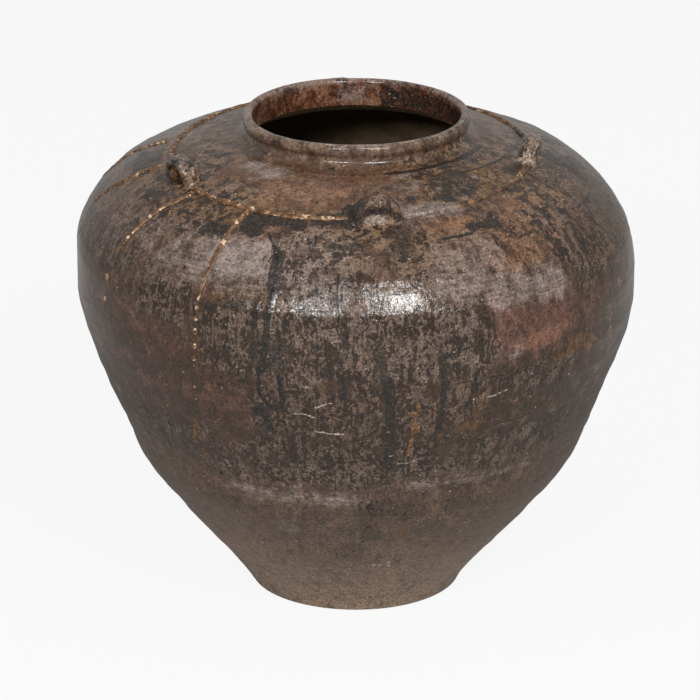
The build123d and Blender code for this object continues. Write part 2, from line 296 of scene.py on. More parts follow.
# Patches: azimuths from and to, distances down from and to, strength, raggedness
patches = {
    "dark": [
        (-39, -32, 95, 110, 0.85, 6), (-30, -23, 74, 102, 0.8, 9), (-25, -12, 72, 88, 0.75, 5),
        (-12, -1, 64, 82, 0.7, 5), (-4, 1.2, 50, 84, 0.75, 3), (8, 14.8, 80, 118, 0.5, 9),
        (29, 40, 84, 104, 0.7, 10), (60, 70, 38, 50, 0.6, 7), (75, 90, 60, 82, 0.6, 14),
        (82, 96, 82, 110, 0.6, 14), (-73, -60, 70, 80, 0.7, 9), (-68, -58, 82, 108, 0.65, 12),
        (-95, -80, 62, 92, 0.6, 12), (-50, -44, 66, 76, 0.6, 5), (16.5, 20, 42, 50, 0.9, 3),
        (26, 46, 8, 58, 0.5, 12), (58, 88, 96, 168, 0.4, 16), (-60, -40, 58, 100, 0.35, 12),
        (28, 33, 46, 60, 0.7, 5), (68, 92, 60, 150, 0.42, 14), (-90, -64, 30, 70, 0.4, 12),
        (-22, -13, 190, 230, 0.5, 10), (-34, -24, 196, 226, 0.4, 9), (2, 9, 214, 250, 0.35, 8),
        (-50, -38, 200, 214, 0.3, 6), (38, 45, 2, 12, 0.6, 4), (24, 30, 0, 8, 0.6, 3),
        (45, 72, 6, 16, 0.5, 6), (-29, -27, 243, 250, 0.8, 2), (-24, -21.5, 235, 242, 0.8, 2),
        (-22, -18.6, 264, 276, 0.8, 2.5), (1, 6, 373, 388, 0.5, 5), (-30, -22, 162, 176, 0.5, 6),
        (-6, 4, 100, 112, 0.55, 6), (52, 58, 305, 326, 0.35, 8), (-1, 15, 368, 400, 0.4, 10),
        (0, 7, 396, 434, 0.42, 9), (-8, 3, 440, 470, 0.36, 9), (20, 30, 362, 396, 0.36, 7),
        (-40, -26, 372, 396, 0.25, 9), (3, 9, 326, 362, 0.35, 6),
    ],
    "netting": [
        (-32, 29, 168, 236, 1.0, 14), (-50, -35, 162, 194, 0.95, 10), (-26, 24, 236, 296, 0.72, 18),
        (-26, 19, 296, 352, 0.78, 18), (52, 73, 112, 174, 0.9, 12), (24, 46, 0, 62, 0.95, 8),
        (-50, -25, 45, 63, 0.62, 6), (-50, -25, 68, 96, 0.66, 7), (-20, 4, 82, 166, 0.7, 14),
        (-3, 14, 44, 96, 0.75, 4), (-95, -54, 8, 112, 0.62, 12), (46, 76, 0, 22, 0.7, 6),
        (45, 62, 30, 64, 0.55, 8), (-9, 20, 84, 130, 0.62, 10), (70, 96, 20, 60, 0.6, 8),
        (22, 50, 92, 136, 0.5, 12), (48, 96, 40, 178, 0.85, 12), (-64, -34, 50, 114, 0.85, 9),
        (8, 30, 96, 150, 0.45, 12), (-96, -52, 112, 176, 0.5, 12), (-36, -26, 314, 356, 0.6, 8),
        (-76, -50, 150, 176, 0.45, 10), (20, 50, 236, 262, 0.6, 7), (-24, -14, 402, 426, 0.4, 8),
        (44, 50, 334, 356, 0.5, 5), (-100, -70, 112, 160, 0.4, 14), (20, 56, 300, 352, 0.62, 16),
        (-60, -34, 300, 352, 0.55, 16), (-12, 46, 130, 160, 0.3, 10),
    ],
    "orange": [
        (-36, -3, 18, 62, 0.55, 8), (20, 33, 77, 95, 0.7, 6), (30, 52, 90, 148, 0.5, 12),
        (60, 83, 88, 106, 0.75, 6), (35, 47, 204, 222, 0.75, 8), (-64, -50, 0, 30, 0.3, 8),
        (-40, -37.5, 362, 369, 0.9, 1.5), (41.5, 44, 364, 373, 0.6, 1.5), (24, 26.5, 403, 415, 0.6, 2),
        (-96, -70, 20, 56, 0.35, 10), (2, 12, 240, 262, 0.25, 8), (0, 3, 362, 368, 0.6, 2),
        (54, 68, 176, 300, 0.22, 16), (44, 58, 62, 98, 0.55, 8), (1.5, 10.7, 60, 82, 0.7, 2),
        (-14, 8, 20, 46, 0.35, 8), (-13.6, -12.2, 365, 371, 0.7, 1.5),
    ],
    "ochre": [
        (-50, -25, 44, 63, 0.75, 7), (-50, -24, 68, 97, 0.85, 8), (19, 24.5, 7, 21, 0.85, 4),
        (45, 72, 4, 21, 0.85, 7), (45, 60, 30, 66, 0.75, 8), (50, 76, 64, 100, 0.6, 9),
        (30, 50, 96, 150, 0.5, 12), (44, 56, 220, 246, 0.6, 8), (-76, -66, 84, 106, 0.8, 7),
        (-96, -76, 92, 120, 0.55, 10), (20, 34, 78, 96, 0.4, 6), (52, 74, 110, 172, 0.35, 12),
        (-22, 24, 172, 300, 0.28, 22), (-4, 16, 86, 130, 0.35, 10), (5, 16, 408, 442, 0.45, 8),
        (-96, -60, 4, 40, 0.45, 10), (60, 96, 100, 170, 0.3, 16), (-30, 40, 300, 356, 0.2, 20),
        (-68, -46, 58, 106, 0.8, 10), (22, 40, 6, 60, 0.6, 10), (60, 92, 60, 176, 0.85, 14),
        (-92, -62, 40, 96, 0.8, 12), (38, 58, 8, 60, 0.85, 8), (58, 80, 46, 110, 0.75, 10),
        (-34, -8, 150, 236, 0.35, 16), (10, 30, 236, 300, 0.4, 14),
    ],
    "pink": [
        (28, 52, 166, 222, 0.6, 16), (28, 50, 146, 180, 0.4, 12), (17, 35, 104, 165, 0.4, 12),
        (-17, 2, 0, 32, 0.5, 8), (-52, -30, 0, 24, 0.4, 8), (50, 60, 190, 240, 0.4, 14),
        (-36, -17, 238, 312, 0.36, 9), (-62, -36, 190, 300, 0.3, 18), (50, 70, 96, 120, 0.25, 10),
    ],
    "haze_and_highlight": [
        (1.5, 10.7, 60, 82, 0.62, 1), (-52, -29, 0, 24, 0.75, 7), (-50, -18, 104, 162, 0.45, 14),
        (-36, -18, 104, 150, 0.9, 10), (-74, -46, 104, 152, 0.35, 14), (-20, 1, 82, 162, 0.55, 14),
        (13, 31, 55, 77, 0.85, 7), (17, 36, 104, 166, 0.55, 12), (28, 50, 146, 182, 0.65, 10),
        (-46, -4, 22, 60, 0.3, 12), (60, 84, 0, 24, 0.35, 10), (14, 26, -2, 34, 0.5, 8),
        # On this line and the next, the patches from azimuth 70 to 93 and from -71 to -57 are painted
        # highlights on the tops of the right and left lugs
        (-50, -14, -22, -8, 0.4, 6), (70, 86, 38, 59, 0.85, 7), (84, 93, 22, 30, 0.8, 4),
        (82, 91, 40, 58, 0.8, 5), (-71, -63, 38, 47, 0.95, 4), (-61, -57, 44, 52, 0.8, 2),
        (-20, -10, 2, 20, 0.4, 7), (-28, 26, 172, 240, 0.3, 18), (34, 44, 296, 330, 0.3, 12),
        (-12, -5, 324, 341, 0.35, 6), (-36, -32, 298, 322, 0.45, 6), (-23, -15, 404, 426, 0.55, 7),
        (-20, 4, 358, 379, 0.4, 6), (31, 41, 292, 299, 0.5, 3), (42, 47, 294, 298, 0.45, 2),
        (32.6, 34.6, 217, 223, 0.9, 1), (42.5, 45, 28, 33, 0.5, 2), (34, 36, 42, 48, 0.9, 1.5),
        (35, 37.4, 52, 58, 0.9, 1.5), (31, 33.2, 24, 30, 0.9, 1.5), (28.5, 30.6, 34, 40, 0.9, 1.5),
        (40.5, 42.6, 33, 39, 0.9, 1.5), (45, 47.2, 29, 35, 0.9, 1.5), (56, 80, 176, 330, 0.2, 22),
        (-96, -64, 180, 330, 0.25, 22), (-36, 30, 330, 356, 0.3, 14), (12, 46, 350, 364, 0.5, 7),
        (-34, -2, 360, 382, 0.5, 8), (-40, -26, 330, 350, 0.3, 8), (-96, -50, 330, 470, 0.2, 24),
    ],
    "pale": [
        (3, 9.6, 64, 80, 0.4, 2),
    ],
    "tan": [
        (10, 13.4, 265, 269.4, 0.9, 0.8), (11.8, 12.8, 256, 265, 0.85, 0.6),
        (11.2, 13.0, 279, 291, 0.85, 0.8), (17.2, 18.3, 294, 300, 0.8, 1), (-38.8, -36.6, 294, 342, 0.45, 3),
    ],
    "calm": [
        (1.5, 10.7, 60, 82, 1, 1), (-36, -3, 20, 60, 0.8, 6), (-58, -28, 0, 40, 0.75, 10),
        (-26, 16, -24, 24, 0.75, 8), (-60, 30, -26, -2, 0.7, 6), (-52, -35, 196, 312, 0.95, 8),
        (-34, -21, 242, 316, 1.0, 4), (-22, -17, 288, 318, 0.9, 4), (-14, -9, 266, 312, 0.7, 6),
        (54, 96, 178, 300, 0.7, 14), (-96, -52, 178, 300, 0.5, 14), (29, 52, 150, 222, 0.5, 10),
        (44, 60, 66, 100, 0.8, 8),
    ],
}

# Strokes: width, strength, then an azimuth and a distance down for each point of the path
strokes = {
    "dark": [
        (5, 0.95, -21.5, 96, -19.4, 106, -17.6, 116, -16.8, 124),
        (12, 0.66, -17, 120, -16.8, 134, -16.9, 150), (6, 0.9, -16.6, 150, -17.6, 190, -18.8, 226),
        (4, 0.5, -15.2, 178, -15.5, 230), (5, 1.0, -19.5, 225, -19.7, 250, -18, 263),
        (5, 1.0, -15.3, 230, -15.1, 254, -16, 262.5), (6, 1.0, -18.2, 263, -15.8, 263.5),
        (5.5, 1.0, -19.8, 262, -19.3, 276, -18.5, 288), (3.5, 0.85, -3, 134, -3.3, 160, -3, 182),
        (8, 0.5, 5, 200, 5.4, 232, 5, 262), (10, 0.62, 6.2, 232, 6.6, 268, 6.9, 305, 6.8, 330),
        (8, 0.6, 17, 215, 17.4, 250, 17, 302), (4, 0.7, 17.2, 222, 17, 286),
        (6, 0.8, -2.8, 226, -2.4, 240, -3, 248), (3, 0.8, 0, 97, 4, 88), (3, 0.8, -50, 94, -45, 94),
        (3, 0.85, 22, 103, 30, 102), (3, 0.75, 18, 212, 24, 205), (3.5, 0.85, 45, 22, 58, 26, 71, 30),
        (3, 0.7, 66, 116, 78, 116), (3, 0.6, -80, 56, -70, 57),
        (5.5, 0.95, 14, 2, 24, 2, 34, 1, 50, 2, 75, 3), (3, 0.6, -20, 2, -6, 3, 8, 2),
        (5, 0.45, -37.5, 224, -38.5, 246, -40, 286), (4, 0.5, -30, 318, -28.5, 336, -30, 354),
        (9, 0.3, 3, 376, -1, 410, -3, 446), (3, 0.8, 24, 236, 24.4, 250),
        (2.5, 0.7, 20, 240, 27, 238, 34, 241), (2.5, 0.7, 37, 250, 39, 246, 42, 252, 40, 258),
        (2.5, 0.7, 46, 262, 47, 246, 50, 240), (2.5, 0.6, 38.5, 258, 38.5, 278), (2.5, 0.5, 33, 278, 38, 278),
        (2.5, 0.6, 2, 244, 5, 244), (3, 0.7, -34, 166, -33.4, 184), (3, 0.7, 41, 118, 46, 116),
        (2.5, 0.7, 41, 133, 41, 137), (2.6, 0.8, 35, 115, 35.2, 120), (3, 0.75, 11, 300, 11.5, 340),
        (3, 0.5, -8, 250, -8.4, 300), (3, 0.5, 0, 262, 0.4, 318), (5, 0.5, -35.5, 336, -34.5, 356),
        (2.6, 0.85, -12, 47.5, -12, 50), (2.4, 0.7, -4, 127, -4, 130), (2.4, 0.7, -5.5, 130, -5.5, 133),
        (2.4, 0.7, -12, 132, -12, 135), (2.6, 0.8, 26, 124, 26, 127), (2.2, 0.7, 20, 185, 20, 187),
        (2.2, 0.7, 43, 181, 43, 183), (2.4, 0.8, 31.7, 191, 31.7, 194), (2.4, 0.7, 57, 122, 60, 122),
        (2.4, 0.7, 67.5, 146, 67.5, 150), (2.4, 0.7, 79, 138, 79, 142), (2.2, 0.7, 20.5, 507, 20.5, 509),
        (2.2, 0.7, 7, 546, 7, 548), (2.2, 0.6, 58, 213, 58, 216),
    ],
    "pale": [
        (1.5, 0.8, -13, 269, -11, 268, -9, 271.5), (1.6, 0.85, -9, 287, -6, 289, -3, 289.5),
        (1.6, 0.8, -8.5, 260, -6.5, 256, -5, 254), (1.4, 0.6, -15.6, 285, -14.4, 285.5),
        (1.6, 0.7, -10.4, 238, -9.6, 239), (1.5, 0.75, 9, 327, 12, 326, 14.6, 322),
        (1.3, 0.6, 7, 316, 9, 315), (1.5, 0.8, 26, 260, 29, 259, 31.8, 255.5), (1.3, 0.6, 24, 258, 24.2, 265),
        (1.3, 0.55, 27, 268, 27.2, 278), (1.6, 0.5, -45.5, 388, -44.5, 388),
        (1.8, 0.8, 4, 479, 8, 481, 11, 480), (1.4, 0.8, 11, 475, 10.6, 480, 11.6, 485),
        (1.5, 0.6, 12.6, 492, 13.4, 496), (1.6, 0.45, 15, 366, 20, 363, 27, 361, 38, 358),
        (2.2, 0.3, -20, 366, -8, 371, 3, 374), (1.4, 0.4, 0, 327, 0.3, 339, 6, 340, 6.2, 326),
        # The first stroke on this line, down the front lug's right leg, is a painted highlight
        (1.8, 0.55, 13.5, 45, 12, 60, 11.5, 75), (1.6, 0.5, -19.3, 240, -19.3, 250),
        # The strokes at azimuths 69 and 84 on this line and at -70 on the next are painted highlights on the
        # right and left lugs
        (1.4, 0.5, 48.5, 345, 48.5, 352), (1.4, 0.6, 69, 44, 74, 50), (1.4, 0.6, 84, 44, 89, 52),
        (1.4, 0.5, -70, 42, -64, 45), (1.5, 0.45, -24.6, 383, -24.2, 383),
    ],
    "tan": [
        (3.2, 0.85, 12.2, 268, 11.9, 282, 11.5, 300, 11.2, 317), (2.6, 0.8, -64, 47, -58, 58, -55, 61),
        (2, 0.6, -66, 56, -61, 65), (1.6, 0.5, -31, 356, -29, 356), (1.6, 0.55, -26, 355, -20, 355.5),
        (2.2, 0.6, -87.5, 108, -87.5, 112), (2, 0.3, -61.3, 240, -61.3, 258),
    ],
}

# The side that the photograph hides has the same kinds of marks, strewn at random
hidden_side = np.random.default_rng(11)


def strewn(low, high):
    return round(float(hidden_side.uniform(low, high)), 1)


def drawn_value(value):
    """A number as it is, or a random one from a range."""
    return strewn(*value) if isinstance(value, tuple) else value


def strew_patch(channel, azimuths, downs, before, after, length, amount, raggedness):
    azimuth, down = strewn(*azimuths), strewn(*downs)
    first, last = azimuth - drawn_value(before), azimuth + drawn_value(after)
    patch = (first, last, down, down + drawn_value(length), drawn_value(amount), raggedness)
    patches[channel].append(patch)


for _ in range(11):
    strew_patch("netting", (92, 262), (104, 170), (6, 15), (6, 15), (50, 130), 0.9, 14)
for _ in range(14):
    strew_patch("netting", (96, 262), (0, 88), 9, 9, (14, 40), (0.5, 0.9), 8)
    strew_patch("ochre", (96, 262), (0, 120), 8, (4, 14), (12, 40), (0.4, 0.8), 8)
    strew_patch("dark", (94, 264), (60, 104), (2, 5), (2, 6), (10, 30), 0.6, 14)
    azimuth, down = strewn(94, 264), strewn(84, 190)
    sway, length = strewn(-1.5, 1.5), strewn(40, 150)
    path = (azimuth, down, azimuth + sway, down + length / 2, azimuth + sway * 0.6, down + length)
    strokes["dark"].append((strewn(3, 7), strewn(0.6, 1.0), *path))
    azimuth, down = strewn(94, 264), strewn(150, 520)
    path = (azimuth, down, azimuth + strewn(1.5, 5), down + strewn(-4, 4))
    strokes["pale"].append((1.6, strewn(0.4, 0.8), *path))
for _ in range(9):
    strew_patch("haze_and_highlight", (96, 262), (0, 190), 10, (6, 20), (20, 60), (0.4, 0.75), 11)
    strew_patch("orange", (96, 262), (20, 330), 8, (4, 14), (14, 46), (0.2, 0.5), 9)
for _ in range(4):
    strew_patch("pink", (100, 256), (140, 230), 10, 12, (30, 60), (0.4, 0.9), 12)

# The neck, where distances count up the outside, over the rim and down the inside
patches["netting"] += [(-180, 180, -22, -2, 0.35, 6), (20, 80, -18, -2, 0.7, 5)]
patches["dark"] += [(22, 60, -9, -3, 0.6, 3), (-16, -10, -10, -4, 0.6, 2), (-60, -48, -16, -6, 0.6, 4)]
patches["ochre"] += [(36, 66, -20, -4, 0.6, 5), (-46, -20, -16, -8, 0.3, 5)]
patches["pink"] += [(-180, 180, -40, -28, 0.35, 3), (-20, 20, -24, -12, 0.35, 5)]
patches["haze_and_highlight"] += [(-180, 180, -37, -32, 0.75, 1.5), (-10, 18, -24, -14, 0.4, 5)]
patches["haze_and_highlight"] += [(174, 194, -60, -40, 0.55, 3)]
patches["orange"] += [(192, 266, -62, -40, 0.3, 4), (168, 178, -60, -42, 0.4, 3)]
patches["dark"] += [(186, 192, -58, -42, 0.5, 2), (236, 240, -60, -46, 0.5, 2), (84, 168, -66, -42, 0.62, 5)]
strokes["pale"] += [(1.2, 0.6, -30, -33, 0, -33, 30, -33), (1.2, 0.5, 60, -33, 110, -33)]
strokes["dark"] += [(2, 0.5, 212, -60, 214, -44), (2, 0.4, 202, -60, 205, -44)]


def azimuth_gap(azimuth, other):
    return (azimuth - other + 180) % 360 - 180


def patch_gap(azimuth, down, radius, first, last, top, bottom):
    """Distance outside a patch's edge, in millimetres, less than zero within it."""
    half_across, half_along = math.radians((last - first) / 2) * radius, (bottom - top) / 2
    corner = 0.7 * np.minimum(half_across, half_along)
    across = np.abs(np.radians(azimuth_gap(azimuth, (first + last) / 2))) * radius - half_across + corner
    along = np.abs(down - (top + bottom) / 2) - half_along + corner
    beyond = np.hypot(np.maximum(across, 0), np.maximum(along, 0))
    return beyond + np.minimum(np.maximum(across, along), 0) - corner


def stroke_gap(azimuth, down, radius, path, width):
    """Distance outside a stroke's edge, in millimetres, less than zero within it."""
    gap = np.full(len(azimuth), 1e6)
    spots = [
        np.stack([np.radians(azimuth_gap(turn, azimuth)) * radius, below - down]) for turn, below in path
    ]
    for first, last in zip(spots, spots[1:]):
        run = last - first
        share = np.clip(-(first * run).sum(0) / np.maximum((run * run).sum(0), 1e-6), 0, 1)
        gap = np.minimum(gap, np.hypot(*(first + run * share)))
    return gap - width / 2


def near(azimuth, down, azimuths_of_mark, downs_of_mark, margin=24):
    """The points whose azimuth and distance down lie near a patch or stroke."""
    low, high = min(azimuths_of_mark), max(azimuths_of_mark)
    reach = (high - low) / 2 + margin / 2
    within = (down > min(downs_of_mark) - margin) & (down < max(downs_of_mark) + margin)
    return np.flatnonzero(within & (np.abs(azimuth_gap(azimuth, (low + high) / 2)) < reach))


stroke_softness = 0.9


def paint(azimuth, down, place):
    """The strength of each channel at points given by azimuth, distance down and place."""
    radius = np.hypot(place[:, 0], place[:, 1])
    ragged = [
        0.55 * noise(place, 11, 31 + k) + 0.35 * noise(place, 4.6, 33 + k) + 0.5 * noise(place, 26, 35 + k)
        for k in (0, 1)
    ]
    strength = {channel: np.zeros(len(azimuth)) for channel in softness}

    def mark(channel, number, spans, gap_of, shape, raggedness, soft, amount):
        spots = near(azimuth, down, *spans)
        gap = gap_of(azimuth[spots], down[spots], radius[spots], *shape)
        gap = gap + raggedness * ragged[number % 2][spots]
        mask = amount * smooth_step(-gap, -soft, soft)
        strength[channel][spots] = np.maximum(strength[channel][spots], mask)

    for channel, entries in patches.items():
        for number, (*shape, amount, raggedness) in enumerate(entries):
            spans = shape[:2], shape[2:]
            mark(channel, number, spans, patch_gap, shape, raggedness, softness[channel], amount)
    for channel, entries in strokes.items():
        for number, (width, amount, *path) in enumerate(entries):
            raggedness = min(width, 5) * 0.3
            spans = path[::2], path[1::2]
            shape = list(zip(*spans)), width
            mark(channel, number, spans, stroke_gap, shape, raggedness, stroke_softness, amount)
    return strength


def paint_layers(azimuth, down, strength):
    """The vector attributes that the materials read."""
    angle = np.radians(azimuth)
    layers = {"flow": np.stack([belly_radius * np.sin(angle), belly_radius * np.cos(angle), down], -1)}
    for start, label in zip((0, 3, 6), ("paint_a", "paint_b", "paint_c")):
        layers[label] = np.stack([strength[channel] for channel in list(softness)[start:start + 3]], -1)
    return layers


def band(first, second, columns, flip=False):
    """Quads between two closed rings of points, each given by its first point's number."""
    faces = []
    for column in range(columns):
        after = (column + 1) % columns
        quad = (first + column, first + after, second + after, second + column)
        faces.append(quad[::-1] if flip else quad)
    return faces


def ring_faces(rows, columns, start=0, flip=False):
    """Quads between rows of points that close round the axis."""
    starts = [start + row * columns for row in range(rows)]
    return [face for pair in zip(starts, starts[1:]) for face in band(*pair, columns, flip)]


def bridge_faces(fine_start, fine_count, coarse_start, coarse_count, flip=False):
    """Faces between a fine ring and a coarser one, which has one point for several."""
    ratio = fine_count // coarse_count
    faces = []
    for index in range(coarse_count):
        after = (index + 1) % coarse_count
        fan = [fine_start + (index * ratio + step) % fine_count for step in range(ratio + 1)]
        face = [*fan, coarse_start + after, coarse_start + index]
        faces.append(tuple(face[::-1] if flip else face))
    return faces


def cap(start, count, flip=False):
    """One face that closes a ring of points."""
    face = tuple(range(start, start + count))
    return face[::-1] if flip else face


def ring_edges(start, count):
    return [(start + index, start + (index + 1) % count) for index in range(count)]


azimuths = np.concatenate([
    -90 + np.arange(front_columns) * 180 / front_columns, 90 + np.arange(back_columns) * 180 / back_columns
])
azimuth_count = len(azimuths)
inner_azimuths = azimuths[::columns_per_inner]
inner_azimuth_count = len(inner_azimuths)


def turned_points(profile, turn=azimuths):
    """Points of a profile of radii and heights, turned round the axis."""
    profile = np.asarray(profile, float)[:, None]
    return around(turn, profile[..., 0], profile[..., 1]).reshape(-1, 3)


def wall_rows(top_down, bottom_down, step):
    return np.linspace(bottom_down, top_down, int(round((bottom_down - top_down) / step)) + 1)


def painted_wall(downs):
    """Points of the glazed wall and their paint. Runs and curdled glaze stand a little proud."""
    azimuth, down = (grid.ravel() for grid in np.meshgrid(azimuths, downs))
    plain = around(azimuth, *wall_point(down))
    strength = paint(azimuth, down, plain)
    lift = 0.45 * strength["dark"] + 0.4 * strength["netting"] * noise(plain, 6.5, 41) + 0.3 * strength["tan"]
    return body_place(azimuth, down, lift)[0], paint_layers(azimuth, down, strength)


def padded(layers, count):
    """Paint layers with unpainted points added at the end."""
    return {label: np.concatenate([values, np.zeros((count, 3))]) for label, values in layers.items()}


def wall_piece(name, top_down, bottom_down, first, last):
    """A closed shell from bottom to top: the detailed outer wall, and a plain inner one between
    two points, which lies a wall's thickness in from the outside."""
    downs = wall_rows(top_down, bottom_down, row_step)
    outer, layers = painted_wall(downs)
    inner_downs = wall_rows(top_down, bottom_down, inner_row_step)[1:-1]
    inset = np.stack(wall_point(inner_downs), -1) - np.stack(wall_normal(inner_downs), -1) * wall_thickness
    inner_profile = np.concatenate([[first], inset, [last]])
    inner = turned_points(inner_profile, inner_azimuths)
    faces = ring_faces(len(downs), azimuth_count)
    outer_faces = len(faces)
    faces += ring_faces(len(inner_profile), inner_azimuth_count, len(outer), flip=True)
    points = np.concatenate([outer, inner])
    last_rings = len(outer) - azimuth_count, len(points) - inner_azimuth_count
    sharp = []
    for outer_ring, inner_ring, flip in ((0, len(outer), True), (*last_rings, False)):
        faces += bridge_faces(outer_ring, azimuth_count, inner_ring, inner_azimuth_count, flip)
        sharp += ring_edges(outer_ring, azimuth_count) + ring_edges(inner_ring, inner_azimuth_count)
    return make_mesh(name, points, faces, sharp, padded(layers, len(inner)), outer_faces)


base_down = down_at_height(base_edge_height)
seam_normal = wall_normal(seam_down)
seam_inner = (seam_radius - seam_normal[0] * wall_thickness, seam_height - seam_normal[1] * wall_thickness)
base_seat = (base_edge_radius - wall_thickness - base_seat_step, base_thickness)
neck_seat = (neck_root_radius - neck_seat_step, neck_root_height - wall_thickness)
lower_wall = wall_piece("lower_wall", seam_down, base_down, base_seat, seam_inner)
upper_wall = wall_piece("upper_wall", 0, seam_down, seam_inner, neck_seat)

# The foot: a beaten disc whose side goes on from the wall
foot_rows = wall_rows(base_down, foot_down, row_step)[1:]
foot_side, foot_layers = painted_wall(foot_rows)
foot_ends = turned_points([
    (foot_radius - foot_edge_round, 0), (foot_hollow_radius, foot_hollow), (40, base_thickness), base_seat,
])
foot_faces = ring_faces(len(foot_rows), azimuth_count)
side_faces = len(foot_faces)
side_last = len(foot_side) - azimuth_count
under_edge, under, top_middle, top_edge = (len(foot_side) + row * azimuth_count for row in range(4))
for first, second in ((under_edge, 0), (under, under_edge), (top_edge, top_middle), (side_last, top_edge)):
    foot_faces += band(first, second, azimuth_count)
foot_faces += [cap(under, azimuth_count, flip=True), cap(top_middle, azimuth_count)]
foot_sharp = [edge for start in (under, top_edge, side_last) for edge in ring_edges(start, azimuth_count)]
foot_points = np.concatenate([foot_side, foot_ends])
foot_slab = make_mesh(
    "foot_slab", foot_points, foot_faces, foot_sharp, padded(foot_layers, len(foot_ends)), side_faces
)


def arc(centre, radius, start, end, count):
    angles = np.radians(np.linspace(start, end, count))
    return np.stack([centre[0] + radius * np.cos(angles), centre[1] + radius * np.sin(angles)], -1)


# The neck: out of the shoulder, in at the waist, and rolled over at the rim
outer_centre = (rim_radius - rim_outer_round, overall_height - rim_outer_round)
inner_centre = (mouth_radius + rim_inner_round, overall_height - rim_inner_round)
inside_heights = np.linspace(overall_height - 5, mouth_lower_height, 14)
neck_profile = np.concatenate([
    curve_points([neck_root, waist], neck_root_slope, upright, 1.2),
    curve_points([waist, rim_side], upright, upright, 1.2)[1:],
    arc(outer_centre, rim_outer_round, 0, 90, 8),
    arc(inner_centre, rim_inner_round, 90, 180, 7),
    np.stack([np.full(len(inside_heights), mouth_radius), inside_heights], -1),
])
neck_rows = len(neck_profile)


def neck_relief(points):
    """A hand-thrown neck: a slow waver in height and width, and small lumps."""
    angle = np.arctan2(points[..., 0], -points[..., 1])
    waver = 0.55 * np.sin(2 * angle + 0.6) + 0.35 * np.sin(3 * angle + 2.1)
    rise = smooth_step(points[..., 2], neck_root_height, overall_height)
    radius = np.hypot(points[..., 0], points[..., 1])
    lump = 0.35 * noise(points, 24, 5) + 0.16 * noise(points, 7, 6)
    out = points.copy()
    out[..., :2] *= (1 + (0.5 * np.sin(2 * angle + 1.9) * rise + lump * rise)[..., None] / radius[..., None])
    out[..., 2] -= (0.9 - waver * 0.8 - 0.25 * noise(points, 18, 8)).clip(0.05) * rise
    return out


neck_shape = neck_relief(turned_points(neck_profile))
azimuth, down = (grid.ravel() for grid in np.meshgrid(azimuths, -run_length(neck_profile)))
neck_layers = padded(paint_layers(azimuth, down, paint(azimuth, down, neck_shape)), azimuth_count)
neck_points = np.concatenate([neck_shape, turned_points([neck_seat])])
closing = neck_rows * azimuth_count
neck_faces = ring_faces(neck_rows + 1, azimuth_count) + band(closing, 0, azimuth_count)
neck_sharp = [
    edge for row in (0, neck_rows - 1, neck_rows) for edge in ring_edges(row * azimuth_count, azimuth_count)
]
neck_collar = make_mesh("neck_collar", neck_points, neck_faces, neck_sharp, neck_layers)


def tube(centres, across, up, half_widths, half_heights, sides=16):
    """A closed tube of oval sections along centres, with its ends drawn to points."""
    turn = np.radians(np.arange(sides) * 360 / sides)
    points = [
        centre + np.outer(np.cos(turn) * width, side) + np.outer(np.sin(turn) * height, top)
        for centre, side, top, width, height in zip(centres, across, up, half_widths, half_heights)
    ]
    rows = len(points)
    faces = ring_faces(rows, sides)
    for index in range(sides):
        after = (index + 1) % sides
        faces.append((after, index, rows * sides))
        faces.append(((rows - 1) * sides + index, (rows - 1) * sides + after, rows * sides + 1))
    return np.concatenate([*points, [centres[0]], [centres[-1]]]), faces


def surface_layers(points, slip_amount=None, crown_haze_and_highlight=0, floor_share=1, dark_amount=0):
    """Paint for a piece that lies on the wall, from where its points are."""
    azimuth = np.degrees(np.arctan2(points[:, 0], -points[:, 1]))
    down = down_at_radius(np.hypot(points[:, 0], points[:, 1]))
    strength = paint(azimuth, down, points)
    for channel in ("calm", "pale", "haze_and_highlight"):
        strength[channel] = strength[channel] * floor_share
    # A pale haze on the lug's crown, which is also a painted highlight on its top
    strength["haze_and_highlight"] = np.maximum(strength["haze_and_highlight"], crown_haze_and_highlight)
    strength["dark"] = np.maximum(strength["dark"], dark_amount * (1 - floor_share))
    if slip_amount is not None:
        slip = slip_amount(azimuth)
        strength["tan"] = np.maximum(strength["tan"], slip)
        for channel in ("dark", "netting", "haze_and_highlight"):
            strength[channel] = strength[channel] * (1 - 0.9 * slip)
    return paint_layers(azimuth, down, strength)


strip_taper = 6.0
strip_roughness = 0.3
strip_step = 1.2


def wall_strip(name, path, half_widths, rises, slip_amount):
    """A rib of clay laid on the wall along a path of azimuths and distances down, with its
    width and rise at both ends."""
    path = np.array(path, float)
    along = run_length(body_place(*path.T)[0])
    length = along[-1]
    place = np.linspace(0, length, max(4, int(length / strip_step)))
    centres, normals = body_place(*(np.interp(place, along, values) for values in path.T))
    across = row_units(np.cross(row_units(np.gradient(centres, axis=0)), normals))
    ends = np.sqrt(np.clip(np.minimum(place, length - place) / strip_taper, 0.02, 1))
    wobble = 1 + strip_roughness * noise(centres, 6, 11) + strip_roughness * 0.6 * noise(centres, 2.6, 12)
    width, height = (np.interp(place / length, [0, 1], size) * wobble * ends for size in (half_widths, rises))
    centres = centres + across * (0.5 * noise(centres, 16, 13))[:, None]
    points, faces = tube(centres, across, normals, width, height)
    return make_mesh(name, points, faces, attributes=surface_layers(points, slip_amount))


# The coil, a quarter at a time between the sides of the lugs, and how much of its pale
# clay shows through the glaze by azimuth
lug_half_span = 20.0
slip_azimuths = (
    -100, -96, -82, -78, -56, -50, -10, -4, 12, 34, 35, 37, 38, 54, 56, 67, 68, 100, 140, 150, 200, 210, 250
)
slip_amounts = (
    0.5, 0.9, 0.9, 0.4, 0.4, 1, 1, 0.5, 0.1, 0.1, 0.6, 0.6,
    0.1, 0.1, 0.6, 0.6, 0.2, 0.2, 0.8, 0.3, 0.3, 0.9, 0.6,
)


def coil_slip(azimuth):
    return np.interp((azimuth + 100) % 360 - 100, slip_azimuths, slip_amounts)


